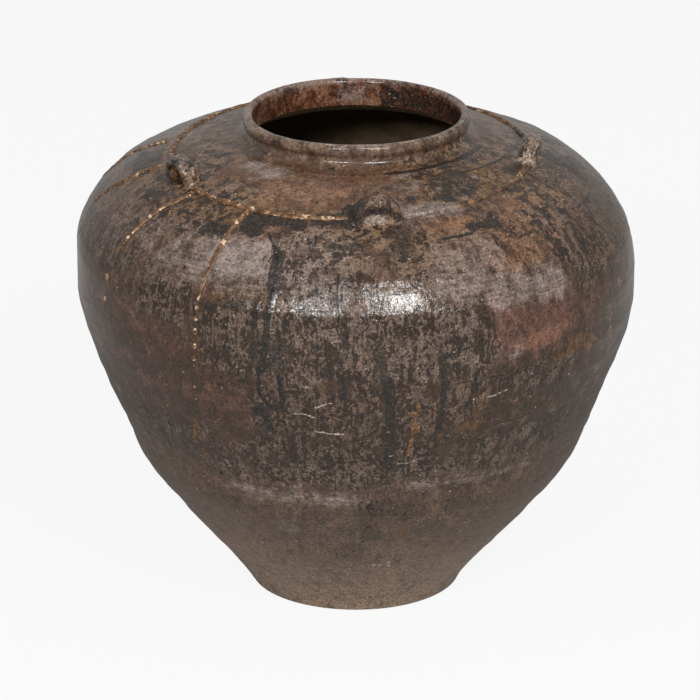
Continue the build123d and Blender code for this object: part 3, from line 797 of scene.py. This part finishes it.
def coil_path(start, end, samples=400):
    """Azimuths and distances down of the shifted ring, between two azimuths."""
    angle = np.radians(np.linspace(start - 30, end + 30, samples))
    spot_x = coil_shift[0] + coil_ring_radius * np.sin(angle)
    spot_y = coil_shift[1] - coil_ring_radius * np.cos(angle)
    azimuth = np.unwrap(np.arctan2(spot_x, -spot_y))
    middle = samples // 2
    azimuth = np.degrees(azimuth - azimuth[middle]) + np.degrees(math.atan2(spot_x[middle], -spot_y[middle]))
    azimuth += 360 * round(((start + end) / 2 - azimuth[middle]) / 360)
    keep = (azimuth >= start) & (azimuth <= end)
    return np.stack([azimuth, down_at_radius(np.hypot(spot_x, spot_y))], -1)[keep]


cordon_pieces = {}
for name, first, second in (
    ("cordon_front_right", "lug_front", "lug_right"),
    ("cordon_back_right", "lug_right", "lug_back"),
    ("cordon_back_left", "lug_back", "lug_left"),
    ("cordon_front_left", "lug_left", "lug_front"),
):
    gap = [math.degrees(lug_half_span / lug_places[lug][1]) for lug in (first, second)]
    start = lug_places[first][0] + gap[0]
    end = lug_places[second][0] - gap[1]
    start -= 360 if start > end else 0
    cordon_pieces[name] = wall_strip(
        f"{name}_coil", coil_path(start, end), (coil_radius, coil_radius), (coil_rise, coil_rise), coil_slip
    )


rib_half_widths, rib_rises = (3.1, 2.0), (1.7, 1.1)
rib_slip_share = 0.85


def rib_slip(azimuth):
    return np.full(len(azimuth), rib_slip_share)


rib_pieces = {
    name: wall_strip(f"{name}_strip", path, rib_half_widths, rib_rises, rib_slip)
    for name, path in rib_paths.items()
}
pearl_rise_share = 0.36
pearl_stretch = 1.25


def sideways(azimuth):
    """The level direction along the wall, towards greater azimuths."""
    return np.array([math.cos(math.radians(azimuth)), math.sin(math.radians(azimuth)), 0])


def pearl_dots(name, spots, sides=14):
    """Dots of slip on the wall, each a low dome: azimuth, distance down and size."""
    levels = np.radians([-30, 0, 22, 45, 68])
    turn = np.radians(np.arange(sides) * 360 / sides)
    points, faces = [], []
    for azimuth, down, size in spots:
        spot, normal = (values[0] for values in body_place(np.array([azimuth]), np.array([down])))
        side = unit(sideways(azimuth))
        along = np.cross(side, normal)
        start = len(points) * sides
        for level in levels:
            reach = size / 2 * math.cos(level)
            middle = spot + normal * size * pearl_rise_share * math.sin(level)
            ring = np.outer(np.cos(turn), side) * reach
            points.append(middle + ring + np.outer(np.sin(turn), along) * reach * pearl_stretch)
        faces += ring_faces(len(levels), sides, start)
        faces += [cap(start, sides, flip=True), cap((len(points) - 1) * sides, sides)]
    points = np.concatenate(points)
    points = points + 0.25 * noise(points, 2.5, 51)[:, None]
    return make_mesh(name, points, faces, attributes=surface_layers(points, rib_slip))


shoulder_dots = pearl_dots("shoulder_pearl_dots", [
    (-33, 178, 4.6), (-33, 188, 4.8), (-33.3, 200, 5.4), (-60.7, 181, 5.6), (-61.2, 203, 4.6),
])
belly_dots = pearl_dots("belly_pearl_dots", [
    (-33.7, 214, 5.2), (-34, 225.5, 5.2), (-34.2, 233, 2.8),
    (-35, 256, 3.2), (-35.4, 270, 2.8), (-35.7, 281, 2.4),
])

# Lugs: an arch of clay that stands across the shoulder on two smeared feet
lug_hole_width = 29
lug_hole_height = 13.5
lug_leg_width = 6.5
lug_strap_thickness = 8
lug_strap_depth = 13
lug_lean = math.radians(14)
lug_sink = 5
lug_groove_depth, lug_groove_width = 1.2, 2.4
lug_melt_size = 0.8
pad_reach_across, pad_reach_along = 42, 22
pad_spread_out, pad_spread_in, pad_spread_along = 9.5, 5, 10
pad_rise, pad_edge_depth, pad_thickness = 4.2, 1.1, 5


def bent(value, power):
    """A cosine or sine drawn towards the corners of a square."""
    return np.sign(value) * np.abs(value) ** power


def lug_arch(spot, across, up, outward, scale):
    """The arch: an oval strap bent over the hole, thick at its feet and grooved on top."""
    half_span = lug_hole_width / 2 + lug_leg_width / 2
    crown = (lug_hole_height + lug_strap_thickness / 2) * scale
    turn = np.radians(np.linspace(180, 0, 41))
    foot_levels = np.linspace(-lug_sink, 1.5, 7)
    spread = 1.6 * np.exp(-(foot_levels + lug_sink) / 3)
    arch_x = [-half_span - spread, half_span * bent(np.cos(turn), 0.8), (half_span + spread)[::-1]]
    arch_y = [foot_levels, 2 + (crown - 2) * np.sin(turn) ** 0.9, foot_levels[::-1]]
    line = np.stack([np.concatenate(arch_x), np.concatenate(arch_y)], -1)
    direction = row_units(np.gradient(line, axis=0))
    side = np.stack([-direction[:, 1], direction[:, 0]], -1)
    flare = np.exp(-np.clip(line[:, 1] + 1, 0, None) / 4.5)
    crown_share = np.clip(line[:, 1] / crown, 0, 1)
    half_thick = np.interp(crown_share, [0, 1], [lug_leg_width / 2, lug_strap_thickness / 2 * scale])
    half_thick = half_thick * (1.12 + 1.1 * flare)
    half_deep = lug_strap_depth / 2 * (1.08 + 0.4 * flare)
    section = np.radians(np.arange(28) * 360 / 28)
    box_x, box_y = bent(np.cos(section), 0.7), bent(np.sin(section), 0.7)
    rings = []
    for (x, y), (side_x, side_y), thick, deep, share in zip(line, side, half_thick, half_deep, crown_share):
        groove = lug_groove_depth * bell(box_x * deep, lug_groove_width) * (box_y > 0.5) * share
        reach = box_y * thick - groove
        local = np.outer(x + side_x * reach, across) + np.outer(y + side_y * reach, up)
        rings.append(spot + local + np.outer(box_x * deep, outward))
    points = np.concatenate(rings)
    points = points + (0.5 * noise(points, 5, 21) + 0.8 * noise(points, 13, 22))[:, None] * outward
    points = points + (0.5 * noise(points, 6, 23))[:, None] * up
    sides = len(section)
    faces = ring_faces(len(rings), sides, flip=True)
    return points, faces + [cap(0, sides), cap((len(rings) - 1) * sides, sides, flip=True)]


def lug_smear(azimuth, down, radius):
    """The clay smeared on the wall round the lug's feet, a low pad that sinks at its edge."""
    lines = (np.arange(-reach, reach + 1.0) for reach in (pad_reach_across, pad_reach_along))
    grid_x, grid_y = np.meshgrid(*lines)
    outside = np.abs(grid_x) - lug_hole_width / 2 - 3
    spread = np.where(outside > 0, pad_spread_out, pad_spread_in)
    feet = np.exp(-((outside / spread) ** 2) - (grid_y / pad_spread_along) ** 2)
    azimuths_here = (azimuth + np.degrees(grid_x / radius)).ravel()
    downs_here = (down + grid_y).ravel()
    top, _ = body_place(azimuths_here, downs_here, (pad_rise * feet - pad_edge_depth).ravel())
    bottom, _ = body_place(azimuths_here, downs_here, -pad_thickness)
    (rows, columns), count = grid_x.shape, grid_x.size
    faces = []
    for low in (row * columns + column for row in range(rows - 1) for column in range(columns - 1)):
        quad = (low, low + 1, low + columns + 1, low + columns)
        faces += [quad[::-1], tuple(count + index for index in quad)]
    numbers = np.arange(count).reshape(rows, columns)
    rim = [*numbers[0], *numbers[1:, -1], *numbers[-1, -2::-1], *numbers[-2:0:-1, 0]]
    rim = [int(number) for number in rim]
    faces += [(first, second, count + second, count + first) for first, second in zip(rim, rim[1:] + rim[:1])]
    return np.concatenate([top, bottom]), faces


def lug_piece(name, azimuth, radius, scale, crown_haze_and_highlight, dark_amount):
    """A lug and its smeared clay, melted into one skin."""
    angle, down = math.radians(azimuth), down_at_radius(radius)
    spot = body_place(np.array([azimuth]), np.array([down]))[0][0]
    ahead = math.cos(lug_lean)
    outward = np.array([math.sin(angle) * ahead, -math.cos(angle) * ahead, -math.sin(lug_lean)])
    across = sideways(azimuth)
    up = np.cross(outward, across)
    arch_points, arch_faces = lug_arch(spot, across, up, outward, scale)
    pad_points, pad_faces = lug_smear(azimuth, down, radius)
    faces = arch_faces + [tuple(len(arch_points) + index for index in face) for face in pad_faces]
    rough = make_mesh(f"{name}_rough", np.concatenate([arch_points, pad_points]), faces)
    remesh = rough.modifiers.new("melt", "REMESH")
    remesh.mode = "VOXEL"
    remesh.voxel_size = lug_melt_size * millimetre
    smooth = rough.modifiers.new("soften", "SMOOTH")
    smooth.factor, smooth.iterations = 0.5, 9
    melted = rough.evaluated_get(bpy.context.evaluated_depsgraph_get()).to_mesh()
    points = np.empty(len(melted.vertices) * 3, np.float32)
    melted.vertices.foreach_get("co", points)
    points = points.reshape(-1, 3).astype(float) / millimetre
    faces = [tuple(face.vertices) for face in melted.polygons]
    bpy.data.objects.remove(rough)
    above = (points - spot) @ up
    # The crown is painted paler the higher it stands above the wall: haze, and a painted highlight on its top
    haze_and_highlight = crown_haze_and_highlight * smooth_step(above, 9, 17)
    layers = surface_layers(points, None, haze_and_highlight, 1 - smooth_step(above, 2, 4), dark_amount)
    return make_mesh(f"{name}_strap", points, faces, attributes=layers)


lug_pieces = {name: lug_piece(name, *place) for name, place in lug_places.items()}

# Every piece rides on the one fired body and stands for its node on the frame
trim_pieces = {**cordon_pieces, **rib_pieces, "shoulder_pearls": shoulder_dots, "belly_pearls": belly_dots}
stands_for = {
    foot_slab: ("base_slab", "bare_clay"),
    lower_wall: ("lower_body", "worn_glaze"),
    upper_wall: ("upper_body", "brown_glaze"),
    neck_collar: ("neck", "brown_glaze"),
    **{piece: (name, "brown_glaze") for name, piece in lug_pieces.items()},
    **{piece: (name, "slip_trim") for name, piece in trim_pieces.items()},
}
for piece, (node, slot) in stands_for.items():
    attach(piece, "root")
    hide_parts(node)


def colour(red, green, blue):
    """A colour given as sRGB from 0 to 255, as linear values."""
    parts = [value / 255 for value in (red, green, blue)]
    return (*(part / 12.92 if part <= 0.04045 else ((part + 0.055) / 1.055) ** 2.4 for part in parts), 1)


class Graph:
    """A short way to write down the nodes of a material or world. Lengths are in millimetres."""

    def __init__(self, owner):
        owner.use_nodes = True
        self.owner, self.tree = owner, owner.node_tree
        self.tint = None

    def node(self, kind, inputs, output=0, **settings):
        node = self.tree.nodes.new("ShaderNode" + kind)
        for key, value in settings.items():
            setattr(node, key, value)
        for key, value in inputs.items():
            self.feed(node.inputs[key], value)
        return node.outputs[output]

    def feed(self, socket, value):
        if isinstance(value, bpy.types.NodeSocket):
            self.tree.links.new(value, socket)
        else:
            socket.default_value = value

    def math(self, operation, first, *others):
        """The values joined by one operation, from first to last."""
        for other in others:
            first = self.node("Math", {0: first, 1: other}, operation=operation)
        return first

    def times(self, *values):
        return self.math("MULTIPLY", *values)

    def most(self, *values):
        return self.math("MAXIMUM", *values)

    def total(self, *terms):
        """The sum of values, each given alone or with its weight."""
        return self.math("ADD", *(self.times(*term) if isinstance(term, tuple) else term for term in terms))

    def steps(self, value, low, high, to_low=0.0, to_high=1.0):
        ends = {"Value": value, "From Min": low, "From Max": high, "To Min": to_low, "To Max": to_high}
        return self.node("MapRange", ends, interpolation_type="SMOOTHSTEP")

    def mix(self, amount, under, over, blend_type="MIX"):
        return self.node("Mix", {0: amount, 6: under, 7: over}, 2, data_type="RGBA", blend_type=blend_type)

    def lay(self, over, *amounts):
        """Lays a colour over the tint so far, by the product of amounts."""
        over = colour(*over) if isinstance(over, tuple) else over
        self.tint = self.mix(self.times(*amounts), self.tint, over)

    def place(self):
        """Where the surface lies, in millimetres."""
        return self.scaled(self.node("TexCoord", {}, "Object"), (1 / millimetre,) * 3)

    def scaled(self, vector, factors):
        return self.node("VectorMath", {0: vector, 1: factors}, operation="MULTIPLY")

    def grains(self, where, size, detail=2.0, roughness=0.5):
        inputs = {"Vector": where, "Scale": 1 / size, "Detail": detail, "Roughness": roughness}
        return self.node("TexNoise", inputs)

    def spots(self, where, size):
        """Distance from the middle of the nearest of many strewn spots."""
        return self.node("TexVoronoi", {"Vector": where, "Scale": 1 / size})

    def painted(self, name):
        """The three values of a painted attribute."""
        vector = self.node("Attribute", {}, "Vector", attribute_name=name)
        return [self.node("SeparateXYZ", {0: vector}, axis) for axis in range(3)]

    def finish(self, tint, roughness, height):
        """Feeds the shader, with a height in millimetres for the bump."""
        inputs = self.tree.nodes["Principled BSDF"].inputs
        self.feed(inputs["Base Color"], tint)
        self.feed(inputs["Roughness"], roughness)
        self.feed(inputs["Normal"], self.node("Bump", {"Height": height, "Distance": millimetre}))


# The body colour by distance down: inside of the neck, rim, shoulder, belly, lower wall, foot
body_colours = [
    (-64, (92, 50, 30)), (-42, (92, 56, 40)), (-35, (142, 120, 107)), (-29, (100, 80, 68)),
    (-16, (84, 64, 51)), (0, (95, 68, 50)), (60, (94, 68, 50)), (110, (96, 74, 60)),
    (165, (76, 58, 46)), (240, (60, 44, 35)), (300, (61, 47, 38)), (350, (81, 64, 54)),
    (400, (89, 72, 61)), (460, (107, 88, 75)), (510, (135, 113, 96)), (569, (149, 127, 109)),
]
ramp_start, ramp_span = -80, 660
glaze_specular = 0.35


def body_ramp(graph, down):
    """The body colour at a distance down the wall."""
    share = graph.total((down, 1 / ramp_span), -ramp_start / ramp_span)
    node = graph.node("ValToRGB", {0: share}).node
    ramp = node.color_ramp
    for spot, _ in body_colours[1:-1]:
        ramp.elements.new((spot - ramp_start) / ramp_span)
    for element, (spot, tint) in zip(ramp.elements, body_colours):
        element.position = (spot - ramp_start) / ramp_span
        element.color = colour(*tint)
    return node.outputs[0]


def glaze_material(name, trim=0.0):
    """Thin brown glaze, painted by the attributes, with the detail too fine for the mesh."""
    graph = Graph(bpy.data.materials.new(name))
    times, most, total, steps = graph.times, graph.most, graph.total, graph.steps
    mix, lay, scaled, grains = graph.mix, graph.lay, graph.scaled, graph.grains
    place = graph.place()
    dark, netting, orange = graph.painted("paint_a")
    ochre, pink, haze_and_highlight = graph.painted("paint_b")
    tan, pale, calm = graph.painted("paint_c")
    flow = graph.node("Attribute", {}, "Vector", attribute_name="flow")
    down = graph.node("SeparateXYZ", {0: flow}, 2)

    # Noise of many sizes: in the clay, drawn downwards, in runs and in rings
    warp = scaled(graph.node("TexNoise", {"Vector": place, "Scale": 0.1, "Detail": 2.0}, "Color"), (8, 8, 8))
    drawn = scaled(graph.node("VectorMath", {0: place, 1: warp}, operation="ADD"), (1, 1, 0.6))
    grain = grains(place, 1.5, 2, 0.6)
    fine = grains(place, 2.8, 3, 0.65)
    medium = grains(place, 15, 4, 0.6)
    large = grains(place, 85, 2)
    curd = grains(drawn, 3.3, 3, 0.62)
    coarse = grains(drawn, 10, 4, 0.65)
    trails = grains(scaled(flow, (1, 1, 0.13)), 5, 3, 0.6)
    brushed = grains(scaled(flow, (0.03, 0.03, 0.45)), 1, 3, 0.6)
    grain_off, fine_off, medium_off, large_off, curd_off, coarse_off, trail_off, streak = (
        total(value, -0.5) for value in (grain, fine, medium, large, curd, coarse, trails, brushed)
    )
    busy = times(steps(calm, 0.1, 0.8, 1.0, 0.1), steps(down, 110, 260, 1, 0.5))

    # The fired clay under its glaze, warmer or greyer in patches, and the grey haze, which on the lugs is
    # also a painted highlight
    graph.tint = body_ramp(graph, total(down, (large_off, 70), (medium_off, 22)))
    lay((118, 96, 78), steps(coarse, 0.52, 0.68, 0, 0.5), busy)
    lay((54, 42, 33), steps(coarse, 0.49, 0.36, 0, 0.75), busy)
    for value, low, high, share, over in (
        (ochre, 0.15, 1.0, 0.85, (102, 70, 32)),
        (orange, 0.15, 1.1, 0.78, (142, 100, 74)),
        (pink, 0.1, 1.1, 0.7, (112, 76, 66)),
    ):
        uneven = total(value, (medium_off, 1.6), (coarse_off, 1.2), (curd_off, 0.6))
        lay(over, steps(uneven, low, high), share)
    veil = total(haze_and_highlight, (medium_off, 1.0), (streak, 0.9), (coarse_off, 0.8))
    lay((146, 133, 126), steps(veil, 0.15, 1.05), 0.8)

    # Curdled glaze: lumps, their pale edges and the dark gaps between them
    netted = steps(total(netting, (medium_off, 1.8), (coarse_off, 1.0), (trail_off, 0.7)), 0.15, 0.75)
    amount = most(times(netted, steps(calm, 0.92, 1.0, 1.0, 0.0)), times(busy, 0.38))
    high_up = steps(down, 70, 170, 1, 0)
    level = total(curd, (coarse_off, total(high_up, 0.6)), (trail_off, 0.5))
    gaps = times(steps(level, 0.55, 0.44), amount)
    off_edge = graph.math("ABSOLUTE", total(level, -0.575), 0.0)
    lay(mix(high_up, colour(80, 68, 61), colour(120, 94, 70)), steps(level, 0.53, 0.64), amount, 0.65)
    lay((132, 119, 110), steps(off_edge, 0.035, 0.008), amount, 0.45)
    lay((44, 36, 31), gaps, 0.9)

    # Dark glaze: runs, flecks and a cloud low on the wall
    flecks = times(steps(graph.spots(place, 7), 0.14, 0.09), steps(coarse, 0.5, 0.6, 0, 0.7))
    broken = total((dark, 1.35), (curd_off, 2.2), (coarse_off, 1.7), (trail_off, 0.6), -0.62)
    runs = times(steps(broken, 0, 0.3), steps(dark, 0.02, 0.2))
    lay((54, 43, 37), steps(dark, 0.05, 0.6), steps(down, 330, 370, 0, 0.55))
    lay(mix(steps(fine, 0.5, 0.72), colour(30, 29, 27), colour(58, 51, 46)), most(runs, flecks), 0.9)

    # Slip, worn places with a few painted highlight lines on the lugs, dust and the fine light and dark grain
    # of all of it
    slip_tint = mix(steps(grains(place, 5, 3), 0.4, 0.66), colour(84, 58, 38), colour(132, 96, 64))
    if trim:
        cream = steps(grains(place, 6, 2, 0.6), 0.58, 0.64)
        slip_tint = mix(times(cream, trim), slip_tint, colour(206, 178, 148))
    slip = steps(total(tan, (fine_off, 1.0), (medium_off, 0.9)), 0.25, 0.65, 0, 0.88)
    wear_and_highlight = steps(total(pale, (fine_off, 1.2)), 0.25, 0.75, 0, 0.75)
    lay(slip_tint, slip)
    lay((184, 173, 160), wear_and_highlight)
    dust = steps(graph.spots(scaled(place, (1, 1, 1.3)), 8.5), 0.13, 0.07, 0, 0.7)
    lay((172, 160, 148), dust, steps(medium, 0.42, 0.6))
    shade = total((grain_off, 2.2), (fine_off, 2.1), (streak, 0.3), (coarse_off, 0.4), 0.97)
    shade = graph.node("CombineXYZ", {0: shade, 1: shade, 2: shade})
    tint = mix(1.0, graph.tint, shade, "MULTIPLY")

    dull = steps(down, 180, 330, 0.13, 0.5)
    roughness = total(dull, (steps(haze_and_highlight, 0, 1), 0.05), (slip, 0.25), (coarse_off, 0.25), (fine_off, 0.15))
    curdled = times(curd, steps(netting, 0.05, 0.9, 0.1, 0.45))
    height = total(
        (grain, 0.025), (fine, 0.09), (curdled, 1.0), (coarse, 0.3),
        (gaps, -0.1), (runs, 0.15), (streak, 0.1), (wear_and_highlight, -0.12), (slip, 0.12),
    )
    graph.tree.nodes["Principled BSDF"].inputs["Specular IOR Level"].default_value = glaze_specular
    graph.finish(tint, roughness, height)
    return graph.owner


def plain_material(name, low, high, roughness, grain):
    """A mottled matt surface between two colours."""
    graph = Graph(bpy.data.materials.new(name))
    place = graph.place()
    mottle = graph.grains(place, 22, 5, 0.65)
    speckle = graph.grains(place, grain, 3, 0.6)
    tint = graph.mix(graph.steps(mottle, 0.35, 0.65), low, high)
    tint = graph.mix(graph.steps(speckle, 0.5, 0.75, 0, 0.35), tint, low)
    graph.finish(tint, roughness, graph.total((speckle, 0.3), (mottle, 0.6)))
    return graph.owner


brown_glaze = glaze_material("brown_glaze")
slip_trim = glaze_material("slip_trim", 0.9)
dark_inside = plain_material("dark_inside", colour(86, 70, 54), colour(110, 92, 72), 0.8, 3)
bare_clay = plain_material("bare_clay", colour(104, 88, 75), colour(134, 116, 100), 0.85, 2)
for piece, (node, slot) in stands_for.items():
    piece.data.materials.append(slip_trim if slot == "slip_trim" else brown_glaze)
for piece in (lower_wall, upper_wall):
    piece.data.materials.append(dark_inside)
foot_slab.data.materials.append(bare_clay)

# Floor and studio
mirrored_share = 0.07
floor_white_share = 0.9
floor_reach = 6.0
studio_strength = 0.42


def straight_rays(graph):
    """One for rays from the camera or through a clear piece, and less for reflections: those
    rays see the pale background."""
    kinds = ("Is Glossy Ray", "Is Camera Ray", "Is Transmission Ray")
    glossy, direct, clear = (graph.node("LightPath", {}, kind) for kind in kinds)
    return graph.most(graph.times(glossy, mirrored_share), direct, clear)


floor_mesh = bpy.data.meshes.new("floor")
floor_corners = [(x * floor_reach, y * floor_reach, 0) for x, y in ((-1, -1), (1, -1), (1, 1), (-1, 1))]
floor_mesh.from_pydata(floor_corners, [], [(0, 1, 2, 3)])
add_object("floor", floor_mesh)
graph = Graph(bpy.data.materials.new("pale_floor"))
surface = graph.node("MixShader", {
    "Fac": graph.times(straight_rays(graph), floor_white_share),
    1: graph.node("BsdfDiffuse", {"Color": colour(196, 194, 191)}),
    2: graph.node("Emission", {}),
})
graph.feed(graph.tree.nodes["Material Output"].inputs["Surface"], surface)
floor_mesh.materials.append(graph.owner)

scene.world = bpy.data.worlds.new("studio")
graph = Graph(scene.world)
background = graph.tree.nodes["Background"].inputs
background["Color"].default_value = (1, 1, 1, 1)
level = graph.node("MapRange", {"Value": straight_rays(graph), "To Min": studio_strength, "To Max": 1.0})
graph.feed(background["Strength"], level)


lamp_aim = np.array([0, 0, 0.3])
lamp_distance = 3.2


def softbox(name, azimuth, elevation, width, height, radiance):
    """A soft rectangular lamp that faces the jar's belly."""
    light = bpy.data.lights.new(name, "AREA")
    light.shape = "RECTANGLE"
    light.size, light.size_y = width, height
    light.energy = radiance * width * height * math.pi
    lamp = add_object(name, light)
    rise = math.radians(elevation)
    away = around(azimuth, math.cos(rise), math.sin(rise))
    lamp.location = lamp_aim + away * lamp_distance
    lamp.rotation_mode = "QUATERNION"
    lamp.rotation_quaternion = Vector(away).to_track_quat("Z", "Y")


softbox("softbox_left", -18, 27, 0.85, 0.28, 60)
softbox("softbox_right", 21, 36, 0.7, 0.6, 46)

# Camera, at the photograph's angle and framing
photo_size = 700
axis_pixel = (356.5, 339.5)
camera_aim_height = 0.2344
camera_elevation = math.radians(20.5)
camera_distance = 4.6875
sensor_width = 36
focal_pixels = 5000
camera_data = bpy.data.cameras.new("camera")
camera_data.sensor_width = sensor_width
camera_data.lens = sensor_width * focal_pixels / photo_size
camera_data.shift_x = -(axis_pixel[0] - photo_size / 2) / photo_size
camera_data.shift_y = -(photo_size / 2 - axis_pixel[1]) / photo_size
camera_data.clip_end = 50
camera = add_object("camera", camera_data)
camera.location = (
    0,
    -camera_distance * math.cos(camera_elevation),
    camera_aim_height + camera_distance * math.sin(camera_elevation),
)
camera.rotation_euler = (math.pi / 2 - camera_elevation, 0, 0)
scene.camera = camera
scene.view_settings.view_transform = "Standard"
